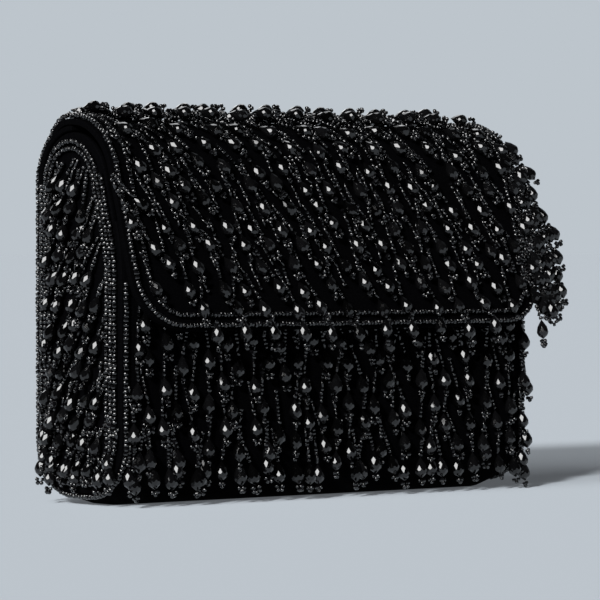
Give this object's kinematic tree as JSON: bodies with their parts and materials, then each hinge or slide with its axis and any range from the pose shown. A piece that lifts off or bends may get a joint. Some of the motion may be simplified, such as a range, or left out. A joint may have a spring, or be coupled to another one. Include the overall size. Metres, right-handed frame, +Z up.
{
  "type": "beaded flap bag",
  "caption": "Small black structured evening bag with a curved front flap and arched sides, covered in strands of seed beads that end in faceted glass drops.",
  "frame": {"origin": "on the surface that the bag stands on, under the middle of its outer box", "axes": "+X to the right seen from the front, -Y towards the front, +Z up"},
  "size_m": [0.2088, 0.0754, 0.1473],
  "materials": {
    "cloth": "matt black cloth",
    "glass_drops": "polished black glass, faceted",
    "seed_beads": "glossy black glass seed beads"
  },
  "bodies": {
    "root": {"body_wrap": "cloth", "flap": "cloth", "gusset_left": "cloth", "gusset_right": "cloth", "flap_drops": "glass_drops", "front_drops": "glass_drops", "back_drops": "glass_drops", "gusset_left_drops": "glass_drops", "gusset_right_drops": "glass_drops", "flap_edging_outer": "seed_beads", "flap_edging_inner": "seed_beads", "body_edging_left": "seed_beads", "body_edging_right": "seed_beads", "gusset_left_border": "seed_beads", "gusset_right_border": "seed_beads"}
  },
  "joints": []
}
